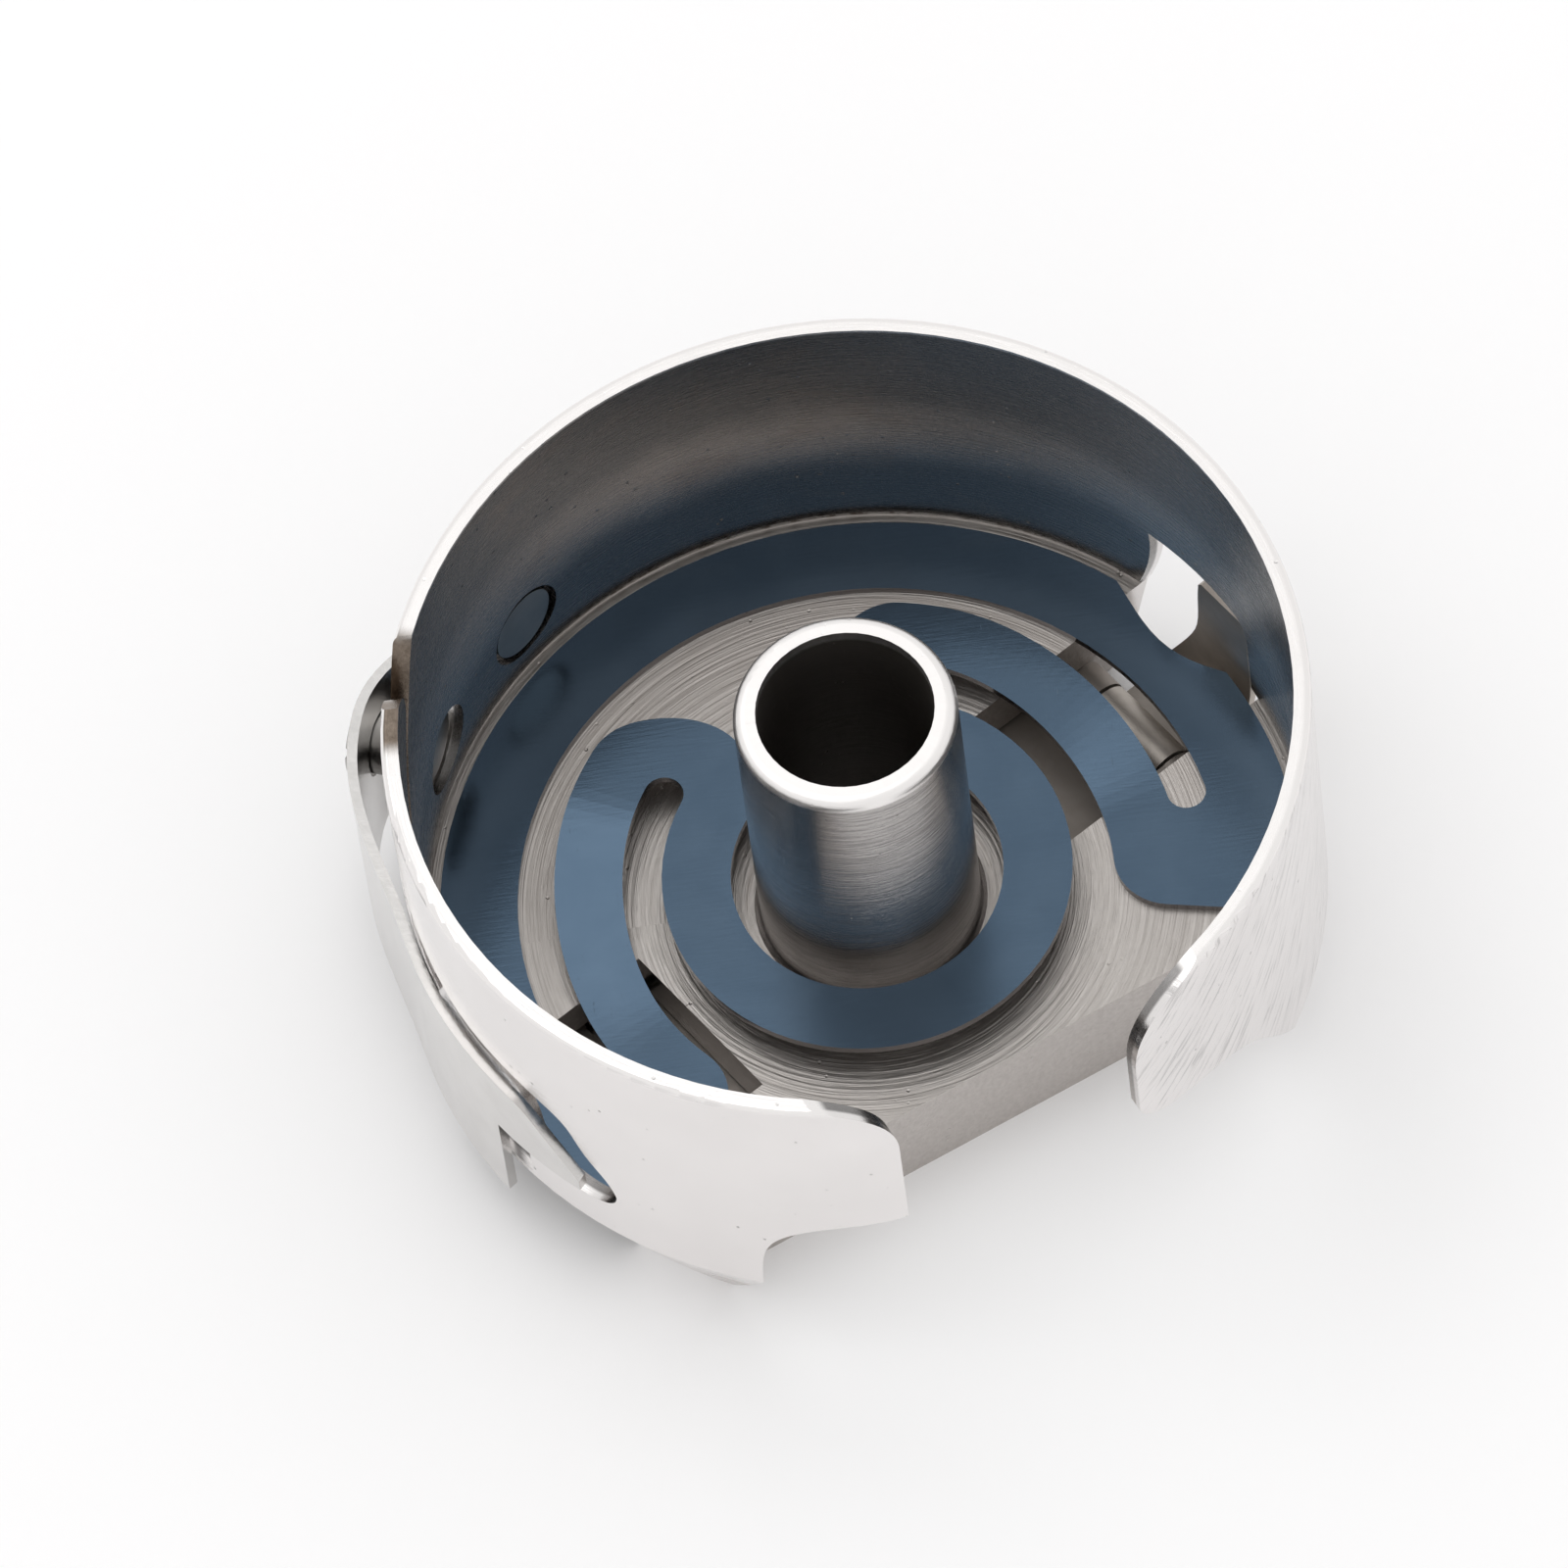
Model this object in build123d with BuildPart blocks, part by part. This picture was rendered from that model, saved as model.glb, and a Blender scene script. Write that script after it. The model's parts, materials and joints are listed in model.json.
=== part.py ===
"""Rotary-hook bobbin case of a sewing machine, lying mouth up on its latch side.

Millimetres, +Z up. The origin is on the axis of the centre tube, in the plane of the base face.
Azimuths are degrees anticlockwise from +X, seen from the mouth.
"""

import os
from math import cos, pi, radians, sin

from build123d import *

# Cup
case_diameter = 23.5
case_height = 12.1
wall_thickness = 0.45
base_thickness = 3.0
bevel_height = 3.2
bevel_depth = 1.4
rim_round = 0.17
rim_inner_chamfer = 0.08
undercut_height = 0.35
undercut_depth = 0.12

# Straight cut across the base, with the two wall flaps above it
chord_azimuth = 292.8
chord_distance = 6.1
left_flap_azimuth = 268.8
right_flap_azimuth = 300.0
left_flap_corner = 1.9
right_flap_corner = 2.5

# Centre tube
tube_diameter = 5.7
stud_bore_diameter = 4.54
tube_seat_step = 0.25
tube_groove_width = 0.35
tube_groove_depth = 0.3
tube_foot_flare = 0.15
tube_lip_round = 0.3
tube_mouth_chamfer = 0.12

# Latch channel, under the base, and the openings above it
latch_azimuth = 32.5
channel_width = 5.0
channel_ceiling_gap = 0.1
floor_opening_inner = 5.65
window_floor_opening_inner = 4.8
window_floor_opening_width = 4.5
window_height = 6.2
window_half_width = 2.05
window_depth = 1.6

# Latch
side_clearance = 0.2
layer_gap = 0.15
lever_thickness = 0.65
lever_ground_gap = 0.15
slide_thickness = 0.55
latch_disc_radius = 3.45
latch_travel = 1.5
hinge_inset = 2.95
hinge_barrel_radius = 0.7
hinge_pin_radius = 0.3
hinge_pin_clearance = 0.05
ear_width = 0.9
lever_tip_inset = 1.95
lever_stud_hole_radius = 2.9
stud_clearance = 0.2
stud_groove_radius = 1.95
horn_rise = 4.9
horn_width = 1.95
horn_foot_width = 2.95
horn_corner_radius = 0.45
horn_window_gap = 0.18

# Return spring of the slide
coil_radius = 0.55
coil_wire_diameter = 0.2
coil_turns = 8
coil_clearance = 0.1
lug_length = 0.6
lug_reach = 8.1
spring_stop_reach = 3.45

# Anti-spin spring
flat_spring_thickness = 0.22
band_wall_gap = 0.25
band_width = 2.0
arm_outer_radius = 8.05
arm_inner_radius = 6.3
ring_outer_radius = 5.27
ring_tube_gap = 0.65
ring_lift = 0.95
lobe_end_azimuth = -13.0
arm_root_azimuth = 10.3
arm_rise_end_azimuth = 68.0
ring_slot_end_azimuth = 72.5
arm_tip_azimuth = 97.0
spring_mirror_azimuth = 110.0
lobe_corner_radius = 1.5

# Thread tension spring and its screws; levels are hundredths of the case height
leaf_thickness = 0.27
leaf_gap = 0.05
leaf_bottom_level = 15.7
leaf_top_level = 62.8
leaf_rear_azimuth = 125.0
leaf_end_azimuth = 212.3
prong_tip_azimuth = 226.2
prong_bottom_level = 43.0
bow_height = 1.25
bow_start_azimuth = 139.0
bow_peak_azimuth = 158.0
bow_end_azimuth = 190.0
leaf_corner_radius = 1.2
screw_level = 43.0
fixing_azimuth = 133.7
tension_azimuth = 155.0
screw_hole_radius = 1.2
screw_shank_radius = 1.03
leaf_hole_radius = 1.12
screw_head_radius = 1.3
screw_head_height = 0.3
screw_head_round = 0.12
screw_head_gap = 0.08
screw_slot_width = 0.32
screw_slot_depth = 0.2
fixing_screw_recess = 0.04
tension_screw_recess = 0.28

leaf_bottom = leaf_bottom_level * case_height / 100
leaf_top = leaf_top_level * case_height / 100
screw_height = screw_level * case_height / 100
outer_radius = case_diameter / 2
inner_radius = outer_radius - wall_thickness
band_outer_radius = inner_radius - band_wall_gap
band_inner_radius = band_outer_radius - band_width
window_inner = inner_radius - window_depth
hinge_reach = outer_radius - hinge_inset
lever_tip_reach = outer_radius - lever_tip_inset
tube_radius = tube_diameter / 2
bore_radius = stud_bore_diameter / 2
seat_radius = tube_radius - tube_seat_step
ring_inner_radius = tube_radius + ring_tube_gap
cut_reach = outer_radius + 3
lever_bottom = lever_ground_gap
lever_top = lever_bottom + lever_thickness
slide_bottom = lever_top + layer_gap
slide_top = slide_bottom + slide_thickness
channel_depth = slide_top + channel_ceiling_gap
hinge_height = lever_bottom + hinge_barrel_radius
latch_half_width = channel_width / 2 - side_clearance
ear_inner = latch_half_width - ear_width
tongue_half_width = ear_inner - 0.1
lug_side = latch_half_width + 2 * coil_radius + 2 * coil_clearance
horn_height = hinge_height + horn_rise
coil_side = channel_width / 2 + coil_radius + coil_clearance
coil_height = (slide_bottom + slide_top) / 2


def flat_plane(azimuth, height):
    """Horizontal plane whose x runs outward at the azimuth."""
    a = radians(azimuth)
    return Plane(origin=(0, 0, height), x_dir=(cos(a), sin(a), 0), z_dir=(0, 0, 1))


def wall_view(azimuth, distance=0.0):
    """Upright plane facing outward at the azimuth: x along the wall, y up."""
    a = radians(azimuth)
    origin = (distance * cos(a), distance * sin(a), 0)
    return Plane(origin=origin, x_dir=(-sin(a), cos(a), 0), z_dir=(cos(a), sin(a), 0))


def radial_plane(azimuth):
    """Upright plane through the axis: x outward at the azimuth, y up."""
    a = radians(azimuth)
    return Plane(origin=(0, 0, 0), x_dir=(cos(a), sin(a), 0), z_dir=(sin(a), -cos(a), 0))


def on_wall(points, view_azimuth):
    """(azimuth, hundredths of the case height) pairs on the outside of the wall, in a wall view."""
    return [(outer_radius * sin(radians(a - view_azimuth)), h * case_height / 100) for a, h in points]


def polar(radius, azimuth):
    return (radius * cos(radians(azimuth)), radius * sin(radians(azimuth)))


def cut_outline(edges, plane, amount):
    """Cut a closed outline of splines, each a list of points, out of the current part."""
    with BuildSketch(plane) as shape:
        with BuildLine():
            for edge in edges:
                Spline(*edge)
            for edge, following in zip(edges, edges[1:] + edges[:1]):
                if edge[-1] != following[0]:
                    Line(edge[-1], following[0])
        make_face()
    extrude(shape.sketch, amount=amount, mode=Mode.SUBTRACT)


# Case body: cup and base in one turned and milled piece

def turned_cup():
    with BuildSketch(Plane.XZ) as profile:
        with BuildLine():
            Polyline(
                (0, 0),
                (outer_radius - bevel_depth, 0),
                (outer_radius, bevel_height),
                (outer_radius, case_height),
                (inner_radius, case_height),
                (inner_radius, base_thickness + undercut_height),
                (inner_radius + undercut_depth, base_thickness + undercut_height),
                (inner_radius + undercut_depth, base_thickness),
                (0, base_thickness),
                close=True,
            )
        make_face()
        corners = profile.vertices()
        fillet(corners.sort_by_distance((outer_radius, case_height))[0], rim_round)
        chamfer(corners.sort_by_distance((inner_radius, case_height))[0], rim_inner_chamfer)
    revolve(profile.sketch, axis=Axis.Z)


def cut_front():
    """Remove the base beyond the chord and leave the two flaps of the wall above it."""
    view = chord_azimuth
    left_x = outer_radius * sin(radians(left_flap_azimuth - view))
    right_x = outer_radius * sin(radians(right_flap_azimuth - view))
    left_relief = on_wall(
        [(268.8, 56.2), (262, 53.3), (256, 50.4), (252.0, 45.5), (250.0, 37.2), (249.6, 29.8)], view)
    right_relief = on_wall(
        [(300, 62.8), (302, 58.3), (308, 55.8), (315, 52.9), (320, 47.1), (325, 36.4)], view)
    foot_x = left_relief[-1][0]
    right_foot = on_wall([(330, 26.4), (335, 18.2), (340, 5.0)], view)
    rim_z = case_height
    above = rim_z + 1
    left_rim_x = left_x - left_flap_corner
    right_rim_x = right_x + right_flap_corner
    with BuildSketch(wall_view(view, chord_distance)) as shape:
        with BuildLine():
            Line((foot_x, -1), left_relief[-1])
            Spline(*reversed(left_relief))
            Line(left_relief[0], (left_x, rim_z - left_flap_corner))
            Spline(
                (left_x, rim_z - left_flap_corner),
                (left_x - 0.24 * left_flap_corner, rim_z - 0.33 * left_flap_corner),
                (left_rim_x, rim_z + 0.02),
                tangents=((0, 1), (-1, 0.15)),
            )
            Polyline(
                (left_rim_x, rim_z + 0.02),
                (left_rim_x, above),
                (right_rim_x, above),
                (right_rim_x, rim_z + 0.02),
            )
            Spline(
                (right_rim_x, rim_z + 0.02),
                (right_x + 0.24 * right_flap_corner, rim_z - 0.33 * right_flap_corner),
                (right_x, rim_z - right_flap_corner),
                tangents=((-1, -0.1), (0, -1)),
            )
            Line((right_x, rim_z - right_flap_corner), right_relief[0])
            Spline(*(right_relief + right_foot))
            Line(right_foot[-1], (right_foot[-1][0], -1))
            Line((right_foot[-1][0], -1), (foot_x, -1))
        make_face()
    extrude(shape.sketch, amount=cut_reach, mode=Mode.SUBTRACT)


def cut_thread_slit():
    """Slit from the rim, down and round behind the tension spring, into the thread eye."""
    view = 179.0
    upper = on_wall(
        [(171.5, 105.0), (170.4, 100.0), (168.0, 96.7), (166.6, 91.7), (167.2, 88.0), (170, 83.1),
         (175, 76.9), (185, 72.3), (195, 69.4), (200, 68.6)], view)
    lower = on_wall(
        [(200, 61.2), (190, 62.8), (180, 66.5), (175, 70.7), (171, 76.9), (168, 82.6), (165.5, 86.8),
         (163.6, 90.9), (161.6, 95.9), (159.8, 100.0), (159.0, 105.0)], view)
    cut_outline([upper, lower], wall_view(view), cut_reach)
    view = 214.0
    upper = on_wall(
        [(198, 69.0), (210, 66.9), (219, 65.3), (223.6, 62.0), (226.2, 54.5), (229.2, 47.9), (230.5, 42.6)], view)
    lower = on_wall(
        [(230.5, 42.6), (229.6, 39.0), (226.5, 37.0), (223, 37.4), (219.6, 40.1), (217.4, 44.6), (216.6, 51.2),
         (215.0, 56.6), (210, 59.1), (198, 61.3)], view)
    cut_outline([upper, lower], wall_view(view), cut_reach)
    slot = on_wall([(211.2, 28.1), (216.0, 43.0)], view)
    with BuildSketch(wall_view(view)) as shape:
        with Locations(((slot[0][0] + slot[1][0]) / 2, (slot[0][1] + slot[1][1]) / 2)):
            Rectangle(slot[1][0] - slot[0][0], slot[1][1] - slot[0][1])
    extrude(shape.sketch, amount=cut_reach, mode=Mode.SUBTRACT)


def cut_window():
    """Window for the latch horn, open through the wall and the base below it."""
    w = window_half_width
    top = window_height
    left = [(w + 0.4, base_thickness), (w + 0.08, top - 2.2), (w - 0.15, top - 1.2), (w - 0.2, top)]
    right = [(-w + 0.45, top), (-w + 0.12, top - 0.25), (-w, top - 0.6)]
    with BuildSketch(wall_view(latch_azimuth, window_inner)) as shape:
        with BuildLine():
            Polyline((-w, base_thickness), (-w, -1), (w + 0.1, -1), left[0])
            Spline(*left)
            Line(left[-1], right[0])
            Spline(*right)
            Line(right[-1], (-w, base_thickness))
        make_face()
    extrude(shape.sketch, amount=cut_reach - window_inner, mode=Mode.SUBTRACT)


def cut_latch_bed():
    """Channel under the base for lever and slide, and the floor openings above it."""
    with BuildSketch(flat_plane(latch_azimuth, 0)) as shape:
        Rectangle(2 * cut_reach, channel_width)
        with Locations((latch_travel / 2, 0)):
            SlotCenterToCenter(latch_travel, 2 * (latch_disc_radius + side_clearance))
    extrude(shape.sketch, amount=channel_depth, mode=Mode.SUBTRACT)
    outer_end = inner_radius - 0.4
    length = outer_end - floor_opening_inner
    with BuildSketch(flat_plane(latch_azimuth, channel_depth)) as shape:
        with Locations((-floor_opening_inner - length / 2, 0)):
            Rectangle(length, channel_width)
        window_length = inner_radius - window_floor_opening_inner
        with Locations((window_floor_opening_inner + window_length / 2, 0)):
            Rectangle(window_length, window_floor_opening_width)
    extrude(shape.sketch, amount=base_thickness - channel_depth + 0.2, mode=Mode.SUBTRACT)


def cut_lug_pockets():
    """Closed pockets beside the channel for the slide's two lugs, one of them also for the return spring."""
    start = -lug_reach - coil_clearance
    length = -spring_stop_reach - start
    overlap = side_clearance
    coil_depth = coil_side + coil_radius + coil_clearance - channel_width / 2 + overlap
    lug_depth = lug_side + coil_clearance - channel_width / 2 + overlap
    with BuildSketch(flat_plane(latch_azimuth, coil_height - coil_radius - coil_clearance)) as shape:
        with Locations((start + length / 2, channel_width / 2 - overlap + coil_depth / 2)):
            Rectangle(length, coil_depth)
    extrude(shape.sketch, amount=2 * (coil_radius + coil_clearance), mode=Mode.SUBTRACT)
    with BuildSketch(flat_plane(latch_azimuth, slide_bottom - coil_clearance)) as shape:
        with Locations((start + length / 2, -channel_width / 2 + overlap - lug_depth / 2)):
            Rectangle(length, lug_depth)
    extrude(shape.sketch, amount=slide_thickness + 2 * coil_clearance, mode=Mode.SUBTRACT)


with BuildPart() as case_body:
    turned_cup()
    cut_front()
    cut_thread_slit()
    cut_window()
    cut_latch_bed()
    cut_lug_pockets()
    for azimuth in (fixing_azimuth, tension_azimuth):
        with BuildSketch(wall_view(azimuth)):
            with Locations((0, screw_height)):
                Circle(screw_hole_radius)
        extrude(amount=cut_reach, mode=Mode.SUBTRACT)
    with BuildSketch(Plane.XY.offset(channel_depth)):
        Circle(seat_radius)
    extrude(amount=base_thickness, mode=Mode.SUBTRACT)
    with BuildSketch(Plane.XY.offset(base_thickness - tube_groove_depth)):
        Circle(tube_radius + tube_groove_width)
    extrude(amount=base_thickness, mode=Mode.SUBTRACT)
case_body.part.label = "case_body"


# Centre tube, pressed into the base: the bobbin turns on it and the hook's stud passes through it

with BuildPart() as centre_tube:
    with BuildSketch(Plane.XZ) as tube_profile:
        with BuildLine():
            Polyline(
                (bore_radius, channel_depth),
                (seat_radius, channel_depth),
                (seat_radius, base_thickness - tube_groove_depth),
                (tube_radius + tube_foot_flare, base_thickness - tube_groove_depth),
                (tube_radius, base_thickness - tube_groove_depth + tube_foot_flare),
                (tube_radius, case_height),
                (bore_radius, case_height),
                close=True,
            )
        make_face()
        tube_corners = tube_profile.vertices()
        fillet(tube_corners.sort_by_distance((tube_radius, case_height))[0], tube_lip_round)
        chamfer(tube_corners.sort_by_distance((bore_radius, case_height))[0], tube_mouth_chamfer)
    revolve(axis=Axis.Z)
centre_tube.part.label = "centre_tube"


# Anti-spin spring: a band on the floor, two rising arms and a raised ring round the tube

def on_side(azimuth, side):
    """The azimuth itself on side 1, mirrored across the spring's middle on side -1."""
    return azimuth if side > 0 else 2 * spring_mirror_azimuth - azimuth


def rising_arm(side):
    """The sloping stretch of an arm, from the band up to the level of the ring."""
    sections = []
    span = arm_rise_end_azimuth - arm_root_azimuth
    steps = 24
    for i in range(-1, steps + 2):
        share = min(max(i / steps, 0), 1)
        low = base_thickness + ring_lift * share * share * (3 - 2 * share)
        high = low + flat_spring_thickness
        with BuildSketch(radial_plane(on_side(arm_root_azimuth + span * i / steps, side))) as section:
            with BuildLine():
                Polyline(
                    (arm_inner_radius, low),
                    (arm_outer_radius, low),
                    (arm_outer_radius, high),
                    (arm_inner_radius, high),
                    close=True,
                )
            make_face()
        sections.append(section.sketch)
    loft(sections=sections, ruled=True)


def arm_tip(side):
    """The level end of an arm, where it turns round the slot and runs into the ring."""
    start = on_side(arm_rise_end_azimuth, side)
    slot_end = on_side(ring_slot_end_azimuth, side)
    slot_middle = (ring_outer_radius + arm_inner_radius) / 2
    curl = [
        (arm_outer_radius, arm_tip_azimuth - 21),
        (arm_outer_radius - 0.25, arm_tip_azimuth - 14),
        (arm_outer_radius - 0.8, arm_tip_azimuth - 8.7),
        (arm_outer_radius - 1.45, arm_tip_azimuth - 4.2),
        (ring_outer_radius + 0.63, arm_tip_azimuth - 1),
        (ring_outer_radius - 0.17, arm_tip_azimuth),
    ]
    tip = [polar(radius, on_side(azimuth, side)) for radius, azimuth in curl]
    with BuildSketch(Plane.XY.offset(base_thickness + ring_lift)) as shape:
        with BuildLine():
            CenterArc((0, 0), arm_outer_radius, start, on_side(curl[0][1], side) - start)
            Spline(*tip)
            Line(tip[-1], polar(ring_outer_radius - 0.37, slot_end))
            Line(polar(ring_outer_radius - 0.37, slot_end), polar(arm_inner_radius, slot_end))
            CenterArc((0, 0), arm_inner_radius, start, slot_end - start)
            Line(polar(arm_inner_radius, start), polar(arm_outer_radius, start))
        make_face()
        with Locations(polar(slot_middle, slot_end)):
            Circle((arm_inner_radius - ring_outer_radius) / 2, mode=Mode.SUBTRACT)
    extrude(shape.sketch, amount=flat_spring_thickness)


def band_half(side):
    """The flat band from the lobe's end to a little past the spring's middle."""
    lobe = on_side(lobe_end_azimuth, side)
    root = on_side(arm_root_azimuth, side)
    middle = on_side(spring_mirror_azimuth + 2, side)
    slot_width = band_inner_radius - arm_outer_radius
    with BuildSketch(Plane.XY.offset(base_thickness)) as band:
        with BuildLine():
            Line(polar(arm_inner_radius, lobe), polar(band_outer_radius, lobe))
            CenterArc((0, 0), band_outer_radius, lobe, middle - lobe)
            Line(polar(band_outer_radius, middle), polar(band_inner_radius, middle))
            CenterArc((0, 0), band_inner_radius, root, middle - root)
            Line(polar(band_inner_radius, root), polar(arm_inner_radius, root))
            CenterArc((0, 0), arm_inner_radius, lobe, root - lobe)
        make_face()
        fillet(band.vertices().sort_by_distance(polar(arm_inner_radius, lobe))[0], lobe_corner_radius)
        with Locations(polar(arm_outer_radius + slot_width / 2, root)):
            Circle(slot_width / 2, mode=Mode.SUBTRACT)
    extrude(band.sketch, amount=flat_spring_thickness)


with BuildPart() as anti_spin_spring:
    with BuildSketch(Plane.XY.offset(base_thickness + ring_lift)):
        Circle(ring_outer_radius)
        Circle(ring_inner_radius, mode=Mode.SUBTRACT)
    extrude(amount=flat_spring_thickness)
    for half in (1, -1):
        arm_tip(half)
        rising_arm(half)
        band_half(half)
    notch = [(0.25, 50), (-0.3, 44), (-0.68, 36.8), (-0.58, 32), (-0.1, 27.0), (0.25, 24.5)]
    horn_notch = [polar(band_outer_radius + depth, azimuth) for depth, azimuth in notch]
    beyond = [polar(outer_radius + 1, 24.5), polar(outer_radius + 1, 50)]
    cut_outline([horn_notch, beyond], Plane.XY.offset(base_thickness), 1)
anti_spin_spring.part.label = "anti_spin_spring"


# Thread tension spring: a curved leaf outside the wall, bowed out under the tension screw

def leaf_radius(azimuth):
    """Inside radius of the leaf: close to the wall, with one smooth bow."""
    bow = 0.0
    if bow_start_azimuth < azimuth <= bow_peak_azimuth:
        bow = (1 - cos(pi * (azimuth - bow_start_azimuth) / (bow_peak_azimuth - bow_start_azimuth))) / 2
    elif bow_peak_azimuth < azimuth < bow_end_azimuth:
        bow = (1 + cos(pi * (azimuth - bow_peak_azimuth) / (bow_end_azimuth - bow_peak_azimuth))) / 2
    return outer_radius + leaf_gap + bow_height * bow


def leaf_curve(thickness):
    steps = 34
    span = prong_tip_azimuth - leaf_rear_azimuth
    azimuths = [leaf_rear_azimuth + span * i / steps for i in range(steps + 1)]
    return [polar(leaf_radius(a) + thickness, a) for a in azimuths]


with BuildPart() as tension_spring:
    inner_curve = leaf_curve(0)
    outer_curve = leaf_curve(leaf_thickness)
    with BuildSketch(Plane.XY.offset(leaf_bottom)):
        with BuildLine():
            Spline(*inner_curve)
            Line(inner_curve[-1], outer_curve[-1])
            Spline(*reversed(outer_curve))
            Line(outer_curve[0], inner_curve[0])
        make_face()
    extrude(amount=leaf_top - leaf_bottom)
    fillet(tension_spring.edges().filter_by(lambda e: e.length < leaf_thickness * 1.2)
           .sort_by_distance((*polar(outer_radius, leaf_rear_azimuth), screw_height))[:2], leaf_corner_radius)
    prong_view = 218.0
    prong_top = on_wall([(207, leaf_top_level + 0.2), (213, leaf_top_level - 0.1), (217.7, 61.2), (221.5, 55.8), (225, 49.6),
                         (227.5, 43.0)], prong_view)
    cut_outline([prong_top, on_wall([(229, 74.4), (207, 74.4)], prong_view)], wall_view(prong_view), cut_reach + 1)
    below = on_wall([(leaf_end_azimuth, prong_bottom_level), (230, prong_bottom_level), (230, 8.3),
                     (leaf_end_azimuth, 8.3)], prong_view)
    with BuildSketch(wall_view(prong_view)):
        with BuildLine():
            Polyline(*below, close=True)
        make_face()
    extrude(amount=cut_reach + 1, mode=Mode.SUBTRACT)
    for azimuth in (fixing_azimuth, tension_azimuth):
        with BuildSketch(wall_view(azimuth)):
            with Locations((0, screw_height)):
                Circle(leaf_hole_radius)
        extrude(amount=cut_reach + 1, mode=Mode.SUBTRACT)
tension_spring.part.label = "tension_spring"


# Screws of the tension spring

def leaf_screw(azimuth, head_bottom, recess):
    """Slotted screw on a radial axis, from its end in the wall to its head over the leaf."""
    end = inner_radius + recess
    with BuildSketch(wall_view(azimuth, end)) as shape:
        with Locations((0, screw_height)):
            Circle(screw_shank_radius)
    extrude(shape.sketch, amount=head_bottom - end)
    with BuildSketch(wall_view(azimuth, head_bottom)) as head:
        with Locations((0, screw_height)):
            Circle(screw_head_radius)
    extrude(head.sketch, amount=screw_head_height - screw_head_round)
    with BuildSketch(wall_view(azimuth, head_bottom + screw_head_height - screw_head_round)) as crown:
        with Locations((0, screw_height)):
            Circle(screw_head_radius)
    extrude(crown.sketch, amount=screw_head_round, taper=45)
    with BuildSketch(wall_view(azimuth, head_bottom + screw_head_height - screw_slot_depth)) as shape:
        with Locations((0, screw_height)):
            Rectangle(3 * screw_head_radius, screw_slot_width, rotation=25)
    extrude(shape.sketch, amount=2 * screw_slot_depth, mode=Mode.SUBTRACT)


with BuildPart() as fixing_screw:
    leaf_outside = leaf_radius(fixing_azimuth) + leaf_thickness
    leaf_screw(fixing_azimuth, leaf_outside + screw_head_gap / 2, fixing_screw_recess)
fixing_screw.part.label = "fixing_screw"

with BuildPart() as tension_screw:
    leaf_outside = leaf_radius(tension_azimuth) + leaf_thickness
    leaf_screw(tension_azimuth, leaf_outside + screw_head_gap, tension_screw_recess)
tension_screw.part.label = "tension_screw"


# Latch slide: locks on the stud's groove, guided in the channel and sprung towards its tip

with BuildPart() as latch_slide:
    slide_start = -lug_reach
    slide_length = hinge_reach - slide_start
    with BuildSketch(flat_plane(latch_azimuth, slide_bottom)):
        with Locations((slide_start + slide_length / 2, 0)):
            Rectangle(slide_length, 2 * latch_half_width)
        Circle(latch_disc_radius)
        with Locations((slide_start + lug_length / 2, 0)):
            Rectangle(lug_length, 2 * lug_side)
        keyhole_radius = bore_radius + stud_clearance
        with Locations((-latch_travel / 2, 0)):
            SlotCenterToCenter(latch_travel, 2 * keyhole_radius, mode=Mode.SUBTRACT)
        lock_depth = keyhole_radius - stud_groove_radius + 0.4
        with Locations((stud_groove_radius + lock_depth / 2, 0)):
            Rectangle(lock_depth, 2 * keyhole_radius)
        tongue_room = hinge_barrel_radius + side_clearance
        with Locations((hinge_reach, 0)):
            Rectangle(2 * tongue_room, 2 * ear_inner, mode=Mode.SUBTRACT)
    extrude(amount=slide_thickness)
    for side in (-1, 1):
        start = ear_inner if side > 0 else -latch_half_width
        with BuildSketch(radial_plane(latch_azimuth).offset(-start - ear_width)):
            with Locations((hinge_reach, hinge_height)):
                Circle(hinge_barrel_radius)
        extrude(amount=ear_width)
    with BuildSketch(radial_plane(latch_azimuth).offset(-latch_half_width - 1)):
        with Locations((hinge_reach, hinge_height)):
            Circle(hinge_pin_radius)
    extrude(amount=2 * latch_half_width + 2, mode=Mode.SUBTRACT)
latch_slide.part.label = "latch_slide"


# Latch lever: flush under the base, with a horn that swings through the window into the cup

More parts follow.
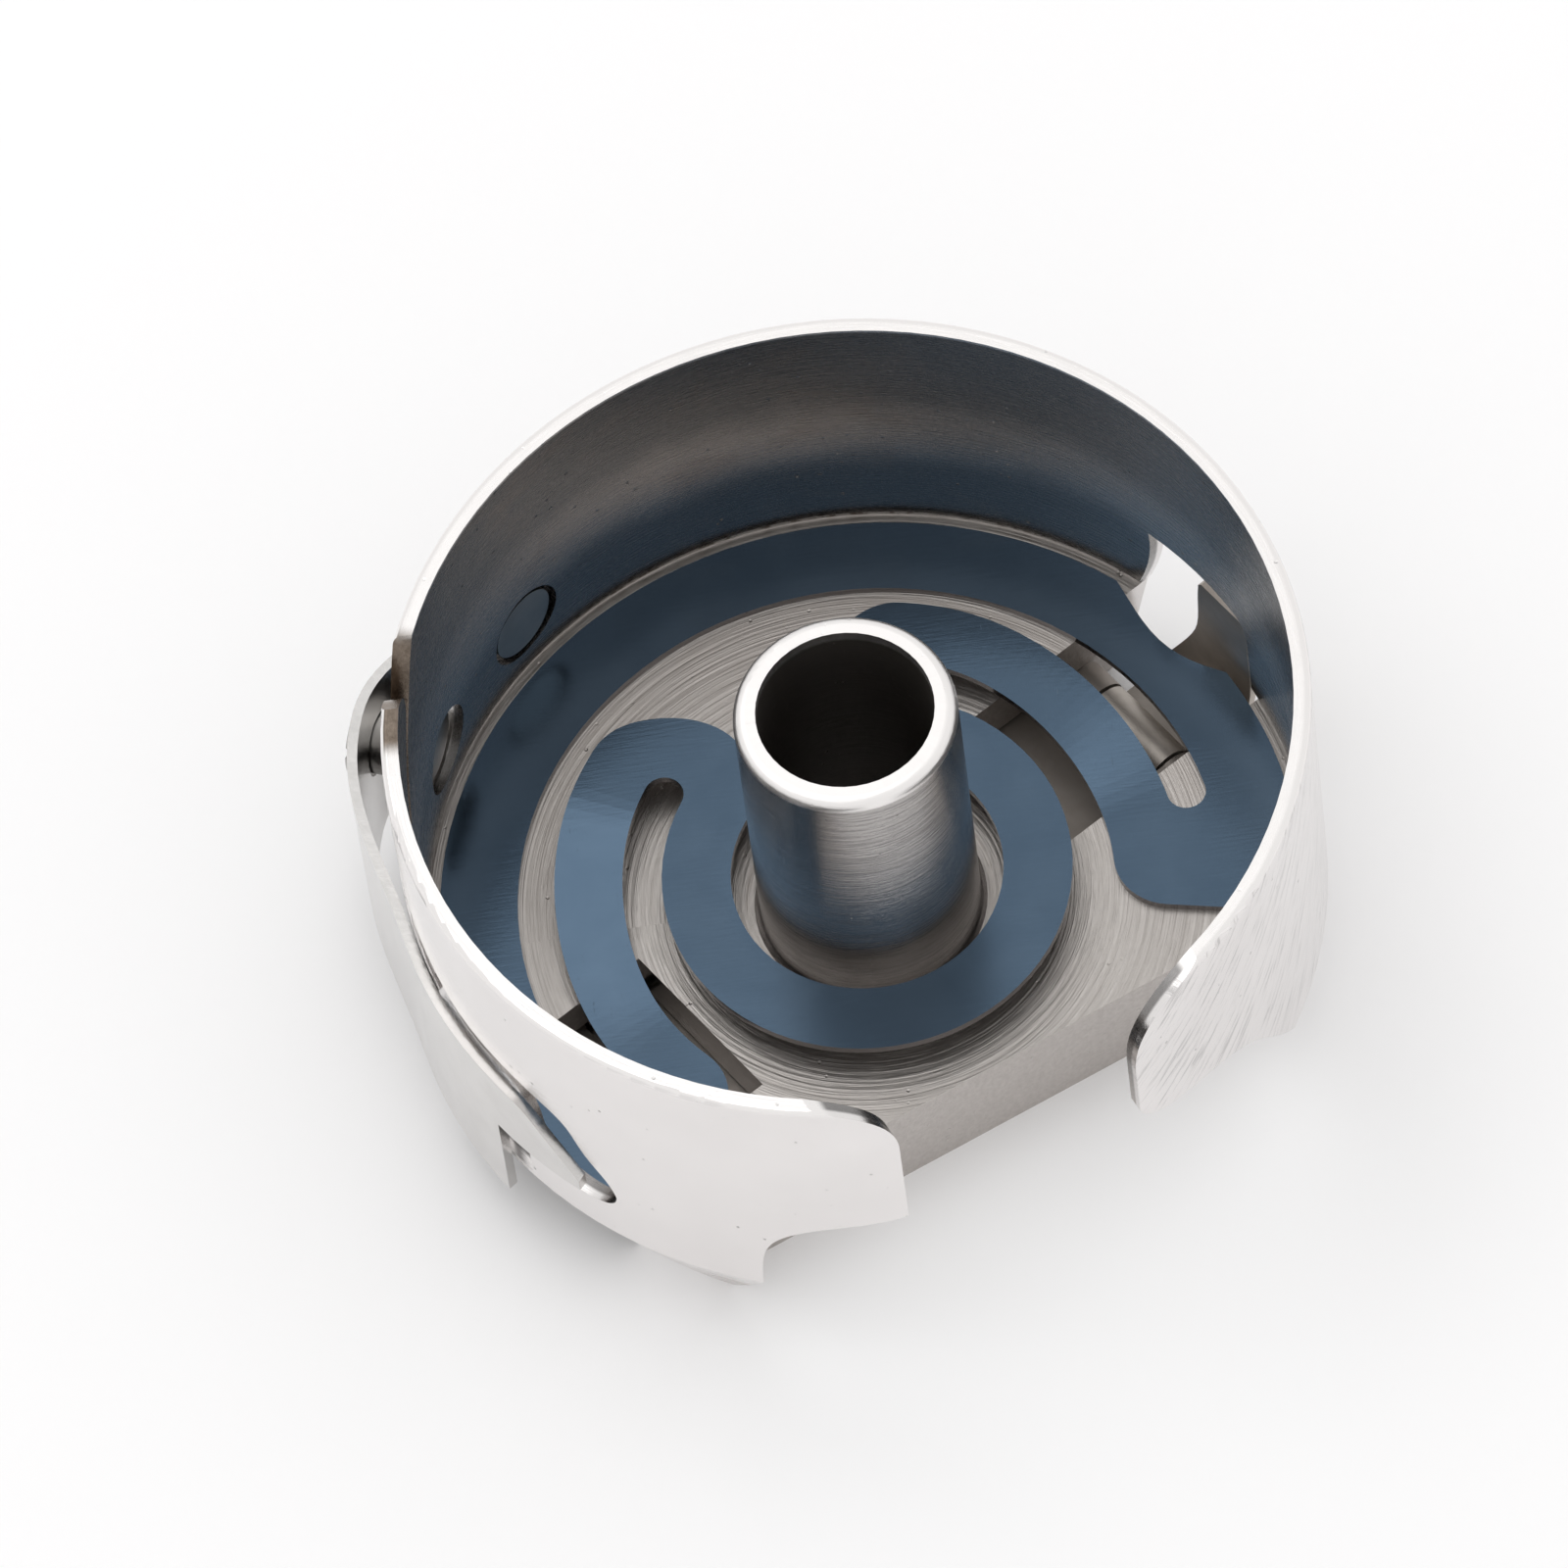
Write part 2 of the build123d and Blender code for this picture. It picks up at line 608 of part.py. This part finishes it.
horn_start = hinge_reach + hinge_barrel_radius + 0.12
with BuildPart() as latch_lever:
    plate_end = hinge_reach - hinge_barrel_radius - 0.35
    plate_length = plate_end + lever_tip_reach - latch_half_width
    with BuildSketch(flat_plane(latch_azimuth, lever_bottom)):
        with Locations((plate_end - plate_length / 2, 0)):
            Rectangle(plate_length, 2 * latch_half_width)
        with Locations((latch_half_width - lever_tip_reach, 0)):
            Circle(latch_half_width)
        Circle(latch_disc_radius)
        tongue_length = horn_start - plate_end
        with Locations((plate_end + tongue_length / 2, 0)):
            Rectangle(tongue_length + 0.6, 2 * tongue_half_width)
        Circle(lever_stud_hole_radius, mode=Mode.SUBTRACT)
    extrude(amount=lever_thickness)
    with BuildSketch(radial_plane(latch_azimuth).offset(-tongue_half_width)):
        with Locations((hinge_reach, hinge_height)):
            Circle(hinge_barrel_radius)
    extrude(amount=2 * tongue_half_width)
    horn_inside = [
        (horn_start, hinge_height - 0.05),
        (outer_radius - 1.45, hinge_height + 0.1),
        (outer_radius - 0.83, hinge_height + 0.85),
        (outer_radius - 0.53, hinge_height + 2.2),
        (outer_radius - 0.44, horn_height),
    ]
    horn_outside = [
        (outer_radius - 0.14, horn_height),
        (outer_radius - 0.27, hinge_height + 2.15),
        (outer_radius - 0.78, hinge_height + 0.5),
        (outer_radius - 1.4, hinge_height - 0.4),
        (horn_start, lever_bottom),
    ]
    horn_right = horn_window_gap - window_half_width
    with BuildSketch(radial_plane(latch_azimuth).offset(-horn_right - horn_foot_width)):
        with BuildLine():
            Spline(*horn_inside)
            Line(horn_inside[-1], horn_outside[0])
            Spline(*horn_outside)
            Line(horn_outside[-1], horn_inside[0])
        make_face()
    extrude(amount=horn_foot_width)
    horn_left = horn_right + horn_width
    foot_left = horn_right + horn_foot_width
    horn_side = [
        (foot_left, horn_height - 4.15),
        (foot_left - 0.4, horn_height - 3.35),
        (foot_left - 0.8, horn_height - 2.35),
        (horn_left, horn_height - 1.1),
        (horn_left, horn_height - 0.1),
    ]
    right_shoulder = (horn_right, horn_height - horn_corner_radius)
    right_top = (horn_right + horn_corner_radius, horn_height)
    with BuildSketch(wall_view(latch_azimuth, hinge_reach)) as beside_horn:
        with BuildLine():
            Spline(*horn_side)
            Polyline(
                horn_side[-1],
                (horn_left - 0.1, horn_height),
                (horn_left - 0.1, horn_height + 1),
                (foot_left + 1, horn_height + 1),
                (foot_left + 1, horn_side[0][1]),
                horn_side[0],
            )
        make_face()
        with BuildLine():
            RadiusArc(right_shoulder, right_top, horn_corner_radius)
            Polyline(
                right_top,
                (right_top[0], horn_height + 1),
                (horn_right - 1, horn_height + 1),
                (horn_right - 1, right_shoulder[1]),
                right_shoulder,
            )
        make_face()
    extrude(beside_horn.sketch, amount=cut_reach - hinge_reach, mode=Mode.SUBTRACT)
    with BuildSketch(radial_plane(latch_azimuth).offset(-latch_half_width - 1)):
        with Locations((hinge_reach, hinge_height)):
            Circle(hinge_pin_radius + hinge_pin_clearance)
    extrude(amount=2 * latch_half_width + 2, mode=Mode.SUBTRACT)
latch_lever.part.label = "latch_lever"


with BuildPart() as lever_hinge_pin:
    with BuildSketch(radial_plane(latch_azimuth).offset(-latch_half_width)):
        with Locations((hinge_reach, hinge_height)):
            Circle(hinge_pin_radius)
    extrude(amount=2 * latch_half_width)
lever_hinge_pin.part.label = "lever_hinge_pin"


# Return spring of the slide, between the lug and the end of its pocket

with BuildPart() as latch_coil_spring:
    coil_start = -lug_reach + lug_length + coil_wire_diameter / 2 + 0.02
    coil_length = -spring_stop_reach - coil_wire_diameter / 2 - 0.02 - coil_start
    coil_origin = flat_plane(latch_azimuth, coil_height).from_local_coords((coil_start, coil_side, 0))
    coil_axis = flat_plane(latch_azimuth, 0).x_dir
    with BuildLine() as coil_path:
        Helix(
            pitch=coil_length / coil_turns,
            height=coil_length,
            radius=coil_radius - coil_wire_diameter / 2,
            center=coil_origin,
            direction=coil_axis,
        )
    with BuildSketch(coil_path.line ^ 0):
        Circle(coil_wire_diameter / 2)
    sweep(is_frenet=True)
latch_coil_spring.part.label = "latch_coil_spring"


os.makedirs("parts", exist_ok=True)
for piece in (
    case_body,
    centre_tube,
    anti_spin_spring,
    tension_spring,
    fixing_screw,
    tension_screw,
    latch_slide,
    latch_lever,
    lever_hinge_pin,
    latch_coil_spring,
):
    export_step(piece.part, f"parts/{piece.part.label}.step")
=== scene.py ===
"""Looks for the bobbin case: metal finishes, studio floor, light and camera. Lengths are metres."""

import json
from math import cos, radians, sin

import bpy
from mathutils import Matrix, Vector


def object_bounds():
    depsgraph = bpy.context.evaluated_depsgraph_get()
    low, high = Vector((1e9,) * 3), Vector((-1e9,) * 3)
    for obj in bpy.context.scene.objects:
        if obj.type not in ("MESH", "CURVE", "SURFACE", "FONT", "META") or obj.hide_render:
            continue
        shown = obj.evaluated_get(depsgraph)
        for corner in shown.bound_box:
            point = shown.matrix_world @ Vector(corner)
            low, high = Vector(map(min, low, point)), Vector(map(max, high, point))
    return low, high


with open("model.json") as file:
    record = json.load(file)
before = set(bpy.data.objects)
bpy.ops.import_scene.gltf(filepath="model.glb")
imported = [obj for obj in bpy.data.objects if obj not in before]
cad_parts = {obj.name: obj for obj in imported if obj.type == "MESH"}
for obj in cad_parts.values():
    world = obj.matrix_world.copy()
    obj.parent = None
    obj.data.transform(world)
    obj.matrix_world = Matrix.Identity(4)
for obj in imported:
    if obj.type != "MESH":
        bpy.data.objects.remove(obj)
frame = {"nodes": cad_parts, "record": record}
cad_low, cad_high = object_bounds()
nodes = frame["nodes"]

# Levels and radii of the case that the finishes follow, in millimetres
rim_level = 12.1
floor_level = 3.0
mid_wall_radius = 11.55
mid_tube_radius = 2.55


# Small helpers for shader nodes

class Shader:
    """One metal material being built: its node tree and shorthand for the nodes it needs."""

    def __init__(self, name):
        self.material = bpy.data.materials.new(name)
        self.material.use_nodes = True
        self.tree = self.material.node_tree
        self.bsdf = self.tree.nodes["Principled BSDF"]
        self.coords = self.tree.nodes.new("ShaderNodeTexCoord")
        scaled = self.new("ShaderNodeVectorMath", operation="SCALE")
        self.tree.links.new(self.coords.outputs["Object"], scaled.inputs[0])
        scaled.inputs["Scale"].default_value = 1000.0
        self.mm = scaled.outputs[0]
        split = self.new("ShaderNodeSeparateXYZ")
        self.tree.links.new(self.mm, split.inputs[0])
        self.x, self.y, self.z = split.outputs
        squares = self.math("ADD", self.math("POWER", self.x, 2), self.math("POWER", self.y, 2))
        self.radius = self.math("SQRT", squares)
        self.turn = self.math("ARCTAN2", self.y, self.x)
        normal = self.new("ShaderNodeSeparateXYZ")
        self.tree.links.new(self.coords.outputs["Normal"], normal.inputs[0])
        self.normal_x, self.normal_y, self.normal_z = normal.outputs

    def new(self, kind, **settings):
        node = self.tree.nodes.new(kind)
        for key, value in settings.items():
            setattr(node, key, value)
        return node

    def plug(self, value, socket):
        if isinstance(value, bpy.types.NodeSocket):
            self.tree.links.new(value, socket)
        else:
            socket.default_value = value

    def math(self, operation, a, b=0.0):
        node = self.new("ShaderNodeMath", operation=operation)
        self.plug(a, node.inputs[0])
        self.plug(b, node.inputs[1])
        return node.outputs[0]

    def step(self, value, low, high):
        """0 below low, 1 above high, smooth between; falls instead where low is above high."""
        node = self.new("ShaderNodeMapRange", interpolation_type="SMOOTHSTEP")
        self.plug(value, node.inputs["Value"])
        node.inputs["From Min"].default_value = low
        node.inputs["From Max"].default_value = high
        return node.outputs[0]

    def vector(self, x, y, z):
        node = self.new("ShaderNodeCombineXYZ")
        for value, socket in zip((x, y, z), node.inputs):
            self.plug(value, socket)
        return node.outputs[0]

    def noise(self, vector, scale, detail=4.0, roughness=0.55, distortion=0.0):
        node = self.new("ShaderNodeTexNoise")
        self.plug(vector, node.inputs["Vector"])
        node.inputs["Scale"].default_value = scale
        node.inputs["Detail"].default_value = detail
        node.inputs["Roughness"].default_value = roughness
        node.inputs["Distortion"].default_value = distortion
        return node.outputs["Fac"]

    def blend(self, factor, a, b):
        node = self.new("ShaderNodeMix", data_type="RGBA")
        self.plug(factor, node.inputs["Factor"])
        for value, socket in ((a, node.inputs[6]), (b, node.inputs[7])):
            self.plug(value if isinstance(value, bpy.types.NodeSocket) else (*value, 1.0), socket)
        return node.outputs[2]

    def between(self, factor, a, b):
        """Number a where the factor is 0, b where it is 1."""
        node = self.new("ShaderNodeMapRange")
        self.plug(factor, node.inputs["Value"])
        self.plug(a, node.inputs["To Min"])
        self.plug(b, node.inputs["To Max"])
        return node.outputs[0]

    def bump(self, height, distance, strength=1.0, below=None):
        node = self.new("ShaderNodeBump")
        node.inputs["Strength"].default_value = strength
        node.inputs["Distance"].default_value = distance
        self.plug(height, node.inputs["Height"])
        if below is not None:
            self.tree.links.new(below, node.inputs["Normal"])
        return node.outputs[0]

    def finish(self, color, roughness, normal):
        """Set the metal's colour, roughness and surface relief."""
        self.bsdf.inputs["Metallic"].default_value = 1.0
        if not isinstance(color, bpy.types.NodeSocket):
            color = (*color, 1.0)
        self.plug(color, self.bsdf.inputs["Base Color"])
        self.plug(roughness, self.bsdf.inputs["Roughness"])
        self.tree.links.new(normal, self.bsdf.inputs["Normal"])
        return self.material

    def around(self, along, across):
        """Coordinates for marks that run round the axis: short across, long along."""
        return self.vector(
            self.math("MULTIPLY", self.turn, along),
            self.math("MULTIPLY", self.radius, across),
            self.math("MULTIPLY", self.z, across),
        )

    def pits(self, scale, low, high):
        """1 in small scattered pits."""
        node = self.new("ShaderNodeTexVoronoi")
        self.plug(self.mm, node.inputs["Vector"])
        node.inputs["Scale"].default_value = scale
        spots = self.step(node.outputs["Distance"], high, low)
        patches = self.step(self.noise(self.mm, scale * 0.35), 0.52, 0.66)
        return self.math("MULTIPLY", spots, patches)


def case_steel():
    """Bright outside; inside a rougher satin whose colour is darkened as painted shade; turned floor; milled
    front cut; a painted highlight along the rim; painted shade at the foot of the inner wall; and a
    near-black to brown edge at the slit.
    """
    s = Shader("case_steel")
    inside = s.math(
        "MULTIPLY",
        s.step(s.radius, mid_wall_radius + 0.05, mid_wall_radius - 0.05),
        s.step(s.z, floor_level, floor_level + 0.1),
    )
    facing_up = s.step(s.normal_z, 0.6, 0.9)
    floor = s.math("MULTIPLY", facing_up, s.step(s.z, floor_level + 0.3, floor_level + 0.2))
    base = s.step(s.z, floor_level + 0.05, floor_level - 0.05)
    chord = s.math("MULTIPLY", s.step(s.normal_y, -0.75, -0.85), s.step(s.radius, 11.3, 11.0))
    right_side = s.math("MULTIPLY", s.step(s.x, 4.0, 7.0), s.step(s.y, -1.0, -4.0))
    cloud = s.noise(s.mm, 0.35, 3.0)
    grain = s.noise(s.mm, 7.0, 6.0, 0.65)
    streaks = s.noise(s.around(9.0, 14.0), 1.0, 5.0, 0.6)
    rings = s.noise(s.around(1.2, 9.0), 1.0, 4.0, 0.6)
    pits = s.pits(2.6, 0.05, 0.16)
    slanted = s.vector(
        s.math("MULTIPLY", s.math("ADD", s.math("MULTIPLY", s.turn, 11.0), s.z), 0.35),
        s.math("MULTIPLY", s.math("SUBTRACT", s.math("MULTIPLY", s.turn, 11.0), s.z), 5.5),
        0.0,
    )
    scratches = s.step(s.noise(slanted, 1.0, 6.0, 0.7), 0.52, 0.62)
    bright = s.blend(cloud, (0.76, 0.735, 0.725), (0.84, 0.815, 0.805))
    bright = s.blend(s.math("MULTIPLY", pits, 0.7), bright, (0.35, 0.33, 0.31))
    scratched = s.math("MULTIPLY", scratches, s.math("MULTIPLY", right_side, 0.55))
    bright = s.blend(scratched, bright, (0.36, 0.35, 0.345))
    # Painted shade: the inside of the cup gets a much darker copy of the steel's colour. Its higher
    # roughness is the real satin finish.
    shaded_satin = s.blend(grain, (0.21, 0.203, 0.20), (0.31, 0.30, 0.295))
    band = s.math("ADD", s.math("MULTIPLY", cloud, 1.6), s.z)
    middle = s.math("MULTIPLY", s.step(band, 6.2, 7.6), s.step(band, 10.0, 8.4))
    shaded_satin = s.blend(s.math("MULTIPLY", middle, 0.75), shaded_satin, (0.50, 0.455, 0.425))
    stain = s.step(s.noise(s.mm, 0.22, 4.0, 0.6, 1.2), 0.5, 0.72)
    shaded_satin = s.blend(s.math("MULTIPLY", stain, 0.5), shaded_satin, (0.34, 0.29, 0.26))
    # Painted shade: patchy near-black darkening low on the inner wall, in the corner where it meets the
    # floor.
    wall_foot = s.step(s.z, floor_level + 0.7, floor_level + 0.3)
    painted_foot_shade = s.math("MULTIPLY", wall_foot, s.step(s.noise(s.mm, 3.2, 4.0, 0.65), 0.5, 0.62))
    shaded_satin = s.blend(painted_foot_shade, shaded_satin, (0.075, 0.06, 0.05))
    turned = s.blend(rings, (0.38, 0.35, 0.325), (0.72, 0.685, 0.655))
    milled = s.blend(grain, (0.42, 0.39, 0.37), (0.70, 0.665, 0.64))
    # The side faces of the slit are coloured near-black to brown.
    outward = s.math("ADD", s.math("MULTIPLY", s.x, s.normal_x), s.math("MULTIPLY", s.y, s.normal_y))
    facing_out = s.math("ABSOLUTE", s.math("DIVIDE", outward, s.radius))
    slit_edge = s.math("MULTIPLY", s.step(facing_out, 0.6, 0.4), s.step(s.turn, 2.75, 2.8))
    slit_edge = s.math("MULTIPLY", slit_edge, s.step(s.turn, 3.1, 3.05))
    color = s.blend(inside, bright, shaded_satin)
    # Painted highlight: a near-white band along the top of the rim.
    color = s.blend(s.step(s.z, rim_level - 0.12, rim_level - 0.05), color, (0.90, 0.875, 0.86))
    color = s.blend(slit_edge, color, s.blend(grain, (0.05, 0.035, 0.025), (0.34, 0.28, 0.23)))
    color = s.blend(base, color, bright)
    color = s.blend(floor, color, turned)
    color = s.blend(chord, color, milled)
    rough = s.between(streaks, 0.10, 0.26)
    rough = s.between(inside, rough, s.between(streaks, 0.2, 0.34))
    rough = s.between(floor, rough, s.between(grain, 0.34, 0.5))
    rough = s.between(chord, rough, s.between(grain, 0.36, 0.55))
    marks = s.bump(streaks, 0.000004)
    wavy = s.bump(cloud, 0.00003, 0.5, marks)
    turning = s.bump(s.math("MULTIPLY", rings, floor), 0.00003, 1.0, wavy)
    ground = s.bump(s.math("MULTIPLY", grain, chord), 0.00002, 1.0, turning)
    pitted = s.bump(s.math("MULTIPLY", pits, -1.0), 0.00003, 1.0, ground)
    return s.finish(color, rough, pitted)


def tube_steel():
    """Turned and polished, with painted shade darkening the bore and a painted highlight on the lip."""
    s = Shader("tube_steel")
    bore = s.step(s.radius, mid_tube_radius + 0.05, mid_tube_radius - 0.05)
    lip = s.step(s.z, rim_level - 0.38, rim_level - 0.24)
    fine = s.vector(s.math("MULTIPLY", s.turn, 1.5), 0.0, s.math("MULTIPLY", s.z, 9.0))
    rings = s.noise(fine, 1.0, 5.0, 0.65)
    cloud = s.noise(s.mm, 0.6, 4.0)
    pits = s.pits(3.0, 0.04, 0.14)
    color = s.blend(cloud, (0.38, 0.365, 0.355), (0.60, 0.575, 0.56))
    color = s.blend(s.math("MULTIPLY", s.step(rings, 0.46, 0.6), 0.5), color, (0.30, 0.285, 0.275))
    color = s.blend(s.math("MULTIPLY", pits, 0.7), color, (0.16, 0.145, 0.135))
    # Painted shade: the bore is darkened.
    color = s.blend(bore, color, (0.20, 0.18, 0.165))
    # Painted highlight: a near-white band on the lip.
    color = s.blend(lip, color, (0.90, 0.875, 0.86))
    rough = s.between(rings, 0.14, 0.3)
    rough = s.between(bore, rough, 0.45)
    rough = s.between(lip, rough, 0.34)
    marks = s.bump(rings, 0.000014)
    return s.finish(color, rough, s.bump(s.math("MULTIPLY", pits, -1.0), 0.00002, 1.0, marks))


def blued_steel():
    """Heat-blued, with fine grain one way, faint scratches the other and plain cut edges."""
    s = Shader("blued_steel")
    cloud = s.noise(s.mm, 0.45, 4.0, 0.5, 0.6)
    along_x = s.vector(s.math("MULTIPLY", s.x, 1.2), s.math("MULTIPLY", s.y, 14.0), s.z)
    along_y = s.vector(s.math("MULTIPLY", s.x, 16.0), s.math("MULTIPLY", s.y, 1.4), s.z)
    grain = s.noise(along_x, 1.0, 5.0, 0.65)
    scratch = s.noise(along_y, 1.0, 6.0, 0.7)
    lines = s.step(scratch, 0.66, 0.74)
    color = s.blend(cloud, (0.066, 0.103, 0.15), (0.094, 0.14, 0.196))
    color = s.blend(s.math("MULTIPLY", lines, 0.3), color, (0.22, 0.28, 0.34))
    edge = s.step(s.normal_z, 0.8, 0.5)
    color = s.blend(edge, color, (0.16, 0.15, 0.15))
    rough = s.between(grain, 0.12, 0.24)
    marks = s.bump(grain, 0.000003)
    return s.finish(color, rough, s.bump(lines, 0.000004, 0.6, marks))


def small_steel(name, dark, light, low, high, scale=5.0):
    """Plain steel between two tones, its roughness between low and high."""
    s = Shader(name)
    grain = s.noise(s.mm, scale, 6.0, 0.65)
    cloud = s.noise(s.mm, 0.8, 3.0)
    flattened = s.vector(
        s.math("MULTIPLY", s.x, 2.0),
        s.math("MULTIPLY", s.y, 2.0),
        s.math("MULTIPLY", s.z, 16.0),
    )
    lines = s.noise(flattened, 1.0, 5.0)
    color = s.blend(cloud, dark, light)
    rough = s.between(lines, low, high)
    marks = s.bump(lines, 0.000004)
    return s.finish(color, rough, s.bump(grain, 0.000003, 1.0, marks))


finishes = {
    "case_steel": case_steel(),
    "tube_steel": tube_steel(),
    "blued_steel": blued_steel(),
    "leaf_steel": small_steel("leaf_steel", (0.58, 0.565, 0.55), (0.74, 0.725, 0.71), 0.1, 0.24),
    "screw_steel": small_steel("screw_steel", (0.30, 0.29, 0.28), (0.48, 0.47, 0.45), 0.25, 0.42),
    # The latch, slide and pin tones are darkened towards brown as painted shade, for where these parts show
    # under the floor through its opening.
    "latch_steel": small_steel("latch_steel", (0.30, 0.27, 0.24), (0.66, 0.61, 0.56), 0.42, 0.6, 2.5),
    "slide_steel": small_steel("slide_steel", (0.26, 0.23, 0.205), (0.42, 0.385, 0.355), 0.5, 0.65),
    "pin_steel": small_steel("pin_steel", (0.30, 0.28, 0.26), (0.45, 0.43, 0.41), 0.4, 0.55),
    "coil_steel": small_steel("coil_steel", (0.32, 0.30, 0.27), (0.48, 0.46, 0.42), 0.25, 0.4),
}
for part in frame["record"]["subparts"]:
    node = nodes[part["node"]]
    node.data.materials.clear()
    node.data.materials.append(finishes[part["material_slot"]])


# Floor, light and camera

def area_light(name, place, target, size, power):
    data = bpy.data.lights.new(name, "AREA")
    data.shape = "RECTANGLE"
    data.size, data.size_y = size
    data.energy = power
    lamp = bpy.data.objects.new(name, data)
    bpy.context.scene.collection.objects.link(lamp)
    lamp.location = place
    lamp.rotation_euler = (Vector(target) - Vector(place)).to_track_quat("-Z", "Y").to_euler()


def paper_floor():
    mesh = bpy.data.meshes.new("paper_floor")
    reach = 1.2
    corners = [(-reach, -reach, 0), (reach, -reach, 0), (reach, reach, 0), (-reach, reach, 0)]
    mesh.from_pydata(corners, [], [(0, 1, 2, 3)])
    floor = bpy.data.objects.new("paper_floor", mesh)
    bpy.context.scene.collection.objects.link(floor)
    floor.location.z = cad_low[2]
    paper = bpy.data.materials.new("paper")
    paper.use_nodes = True
    surface = paper.node_tree.nodes["Principled BSDF"]
    surface.inputs["Base Color"].default_value = (0.985, 0.98, 0.982, 1)
    surface.inputs["Roughness"].default_value = 0.7
    mesh.materials.append(paper)


paper_floor()
world = bpy.data.worlds.new("studio")
world.use_nodes = True
world.node_tree.nodes["Background"].inputs["Color"].default_value = (1.0, 1.0, 1.0, 1)
world.node_tree.nodes["Background"].inputs["Strength"].default_value = 0.92
bpy.context.scene.world = world
bpy.context.scene.view_settings.view_transform = "Standard"
area_light("top_softbox", (-0.15, 0.10, 0.55), (0, 0, 0), (0.45, 0.45), 0.45)

elevation = radians(58.75)
roll = radians(-8.30)
distance = 0.42808
aim = Vector((-0.001783, 0.005315, cad_low[2] + 0.0002))
forward = Vector((0, cos(elevation), -sin(elevation)))
level_right = Vector((1, 0, 0))
level_up = Vector((0, sin(elevation), cos(elevation)))
right = cos(roll) * level_right + sin(roll) * level_up
up = -sin(roll) * level_right + cos(roll) * level_up
view = bpy.data.cameras.new("view")
view.sensor_width = 36.0
view.lens = 378.9
view.clip_start = 0.01
camera = bpy.data.objects.new("view", view)
bpy.context.scene.collection.objects.link(camera)
pose = Matrix((right, up, -forward)).transposed().to_4x4()
pose.translation = aim - forward * distance
camera.matrix_world = pose
bpy.context.scene.camera = camera
